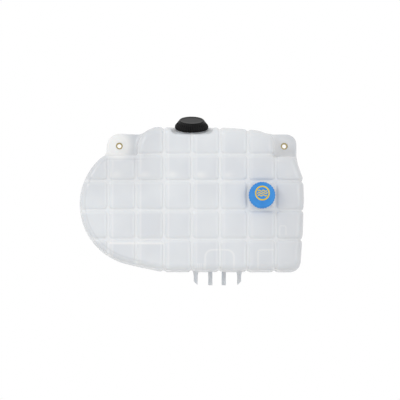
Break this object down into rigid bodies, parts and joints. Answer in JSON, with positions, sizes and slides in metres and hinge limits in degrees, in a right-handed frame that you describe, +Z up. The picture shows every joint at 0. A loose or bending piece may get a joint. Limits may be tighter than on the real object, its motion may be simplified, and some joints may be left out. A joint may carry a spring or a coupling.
{
  "type": "coolant expansion tank",
  "caption": "Quilted translucent coolant expansion tank with a round end, a leaning filler neck with a screw cap, a valved pressure cap, fixing lugs, hose stubs and a level sensor.",
  "frame": {"origin": "midway between the centres of the two lug bushes, at the weld plane of the half shells", "axes": "+X to the right seen from the front, along the line of the bushes; -Y out of the quilted front with the pressure cap; +Z up"},
  "size_m": [0.6333, 0.249, 0.477],
  "materials": {
    "tank_plastic": "translucent moulded polypropylene",
    "bush_metal": "yellow passivated",
    "black_plastic": "moulded, fluted",
    "blue_plastic": "moulded, with a plain yellow ring",
    "seal_rubber": "moulded",
    "grey_plastic": "moulded",
    "valve_steel": "bright",
    "valve_brass": "turned",
    "white_plastic": "moulded"
  },
  "bodies": {
    "tank": {"front_shell": "tank_plastic", "rear_shell": "tank_plastic", "filler_neck": "tank_plastic", "pressure_neck": "tank_plastic", "left_bush": "bush_metal", "right_bush": "bush_metal", "outlet_stub": "tank_plastic", "vent_nipples": "tank_plastic", "level_sensor": "grey_plastic", "sensor_seal": "seal_rubber", "sensor_nut": "white_plastic", "float_clip": "valve_steel"},
    "filler_lift": {"filler_cap_seal": "seal_rubber"},
    "filler_cap": {"filler_cap": "black_plastic"},
    "valve_insert": {"valve_housing": "grey_plastic", "housing_o_ring": "seal_rubber", "valve_housing_cover": "grey_plastic", "pressure_valve_spring": "valve_steel"},
    "pressure_cap": {"pressure_cap": "blue_plastic"},
    "pressure_valve": {"pressure_valve": "valve_steel", "pressure_valve_seal": "seal_rubber", "vacuum_valve_spring": "valve_steel"},
    "vacuum_valve": {"vacuum_valve": "valve_brass", "vacuum_valve_seal": "seal_rubber", "vacuum_spring_keeper": "valve_steel"},
    "float": {"level_float": "white_plastic"}
  },
  "joints": [
    {"name": "filler_cap_lift", "type": "slide", "parent": "tank", "child": "filler_lift", "axis": [0, -0.3584, 0.9336], "range_m": [0, 0.012]},
    {"name": "filler_cap_turn", "type": "hinge", "parent": "filler_lift", "child": "filler_cap", "pos_m": [-0.03, -0.044, 0.05], "axis": [0, -0.3584, 0.9336], "range_deg": [0, 540]},
    {"name": "pressure_cap_lift", "type": "slide", "parent": "tank", "child": "valve_insert", "axis": [0, -1, 0], "range_m": [0, 0.012]},
    {"name": "pressure_cap_turn", "type": "hinge", "parent": "valve_insert", "child": "pressure_cap", "pos_m": [0.167, -0.0905, -0.14325], "axis": [0, -1, 0], "range_deg": [0, 720]},
    {"name": "pressure_valve_lift", "type": "slide", "parent": "valve_insert", "child": "pressure_valve", "axis": [0, -1, 0], "range_m": [0, 0.003], "stiffness_N_per_m": 1500, "springref_m": -0.01, "deforming": ["pressure_valve_spring"]},
    {"name": "vacuum_valve_open", "type": "slide", "parent": "pressure_valve", "child": "vacuum_valve", "axis": [0, 1, 0], "range_m": [0, 0.0015], "stiffness_N_per_m": 100, "springref_m": -0.002, "deforming": ["vacuum_valve_spring"]},
    {"name": "level_float_slide", "type": "slide", "parent": "tank", "child": "float", "axis": [0, 0, 1], "range_m": [0, 0.03]}
  ],
  "couplings": [
    {"joint": "filler_cap_turn", "follows": "filler_cap_lift", "rad_per_m": 785.4},
    {"joint": "pressure_cap_turn", "follows": "pressure_cap_lift", "rad_per_m": 1047.2}
  ]
}
